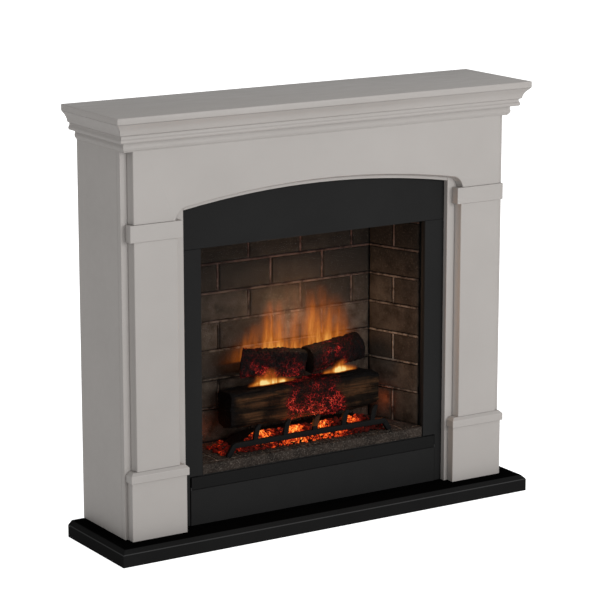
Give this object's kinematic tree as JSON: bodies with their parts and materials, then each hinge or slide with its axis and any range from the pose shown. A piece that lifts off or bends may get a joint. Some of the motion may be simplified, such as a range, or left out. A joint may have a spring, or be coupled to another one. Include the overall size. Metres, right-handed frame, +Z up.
{
  "type": "electric fireplace",
  "caption": "Free-standing electric fireplace: grey arched mantel surround on a black plinth, black infill, brick-lined firebox with glowing log set, heater and drop-down control flap.",
  "frame": {"origin": "middle of the plinth's underside, on the floor", "axes": "+Z up, +X along the width to the right seen from the front, -Y out of the front"},
  "size_m": [1.12, 0.27, 1.01],
  "materials": {
    "painted_mdf": "satin warm grey paint on MDF",
    "bare_mdf": "bare MDF",
    "black_mdf": "satin black paint on MDF",
    "black_infill": "matt black powder coat",
    "flap_black": "matt black moulding",
    "control_black": "fine matt",
    "button_grey": "fine matt",
    "casing_steel": "heat-proof black coat",
    "zinc_steel": "zinc plated",
    "brick_lining": "rough sooty firebrick with pale joints",
    "hearth_stone": "rough stone",
    "cast_grate": "black cast",
    "charred_log": "charred bark with glowing cracks",
    "ember_resin": "rough, lit from below",
    "clear_acrylic": "clear, polished",
    "circuit_board": "solder resist",
    "heater_bronze": "dull"
  },
  "bodies": {
    "surround": {"mantel_shelf": "painted_mdf", "cornice_front": "painted_mdf", "cornice_left": "painted_mdf", "cornice_right": "painted_mdf", "arched_header": "painted_mdf", "upper_rail": "painted_mdf", "leg_board_left": "painted_mdf", "leg_board_right": "painted_mdf", "side_panel_left": "painted_mdf", "side_panel_right": "painted_mdf", "pilaster_left": "painted_mdf", "pilaster_right": "painted_mdf", "impost_band_left": "painted_mdf", "impost_band_right": "painted_mdf", "plinth_block_left": "painted_mdf", "plinth_block_right": "painted_mdf", "plinth_cap_left": "painted_mdf", "plinth_cap_right": "painted_mdf", "top_back_rail": "bare_mdf", "hearth_plinth": "black_mdf", "infill_header": "black_infill", "infill_side_left": "black_infill", "infill_side_right": "black_infill", "lower_fascia": "black_infill", "control_strip": "control_black", "mains_inlet": "control_black", "flap_bracket_left": "casing_steel", "flap_bracket_right": "casing_steel", "casing_side_left": "casing_steel", "casing_side_right": "casing_steel", "casing_top": "casing_steel", "casing_back": "casing_steel", "casing_floor": "casing_steel", "ceiling_baffle": "casing_steel", "outlet_grille": "casing_steel", "heater_duct": "zinc_steel", "blower_housing": "zinc_steel", "blower_motor": "zinc_steel", "flicker_motor": "zinc_steel", "brick_back": "brick_lining", "brick_side_left": "brick_lining", "brick_side_right": "brick_lining", "hearth_slab": "hearth_stone", "fire_grate": "cast_grate", "main_log": "charred_log", "upper_log_left": "charred_log", "upper_log_right": "charred_log", "ember_bed": "ember_resin", "flame_screen": "clear_acrylic", "control_board": "circuit_board", "led_board": "circuit_board", "heating_element": "heater_bronze", "thermal_cutout": "heater_bronze", "flicker_bearing": "heater_bronze"},
    "flap": {"control_flap": "flap_black"},
    "flame_button": {"flame_button": "button_grey"},
    "heat_button": {"heat_button": "button_grey"},
    "knob": {"thermostat_knob": "control_black"},
    "blower": {"blower_wheel": "zinc_steel"},
    "flicker": {"flicker_rod": "zinc_steel"}
  },
  "joints": [
    {"name": "flap_hinge", "type": "hinge", "parent": "surround", "child": "flap", "pos_m": [0, -0.054, 0.1273], "axis": [1, 0, 0], "range_deg": [0, 95]},
    {"name": "flame_button_press", "type": "slide", "parent": "surround", "child": "flame_button", "axis": [0, 1, 0], "range_m": [0, 0.0015], "stiffness_N_per_m": 300},
    {"name": "heat_button_press", "type": "slide", "parent": "surround", "child": "heat_button", "axis": [0, 1, 0], "range_m": [0, 0.0015], "stiffness_N_per_m": 300},
    {"name": "thermostat_turn", "type": "hinge", "parent": "surround", "child": "knob", "pos_m": [0.245, -0.0437, 0.14], "axis": [0, -1, 0], "range_deg": [-135, 135]},
    {"name": "blower_spin", "type": "hinge", "parent": "surround", "child": "blower", "pos_m": [0, -0.014, 0.792], "axis": [1, 0, 0], "continuous": true},
    {"name": "flicker_spin", "type": "hinge", "parent": "surround", "child": "flicker", "pos_m": [0, 0.03, 0.098], "axis": [1, 0, 0], "continuous": true}
  ]
}
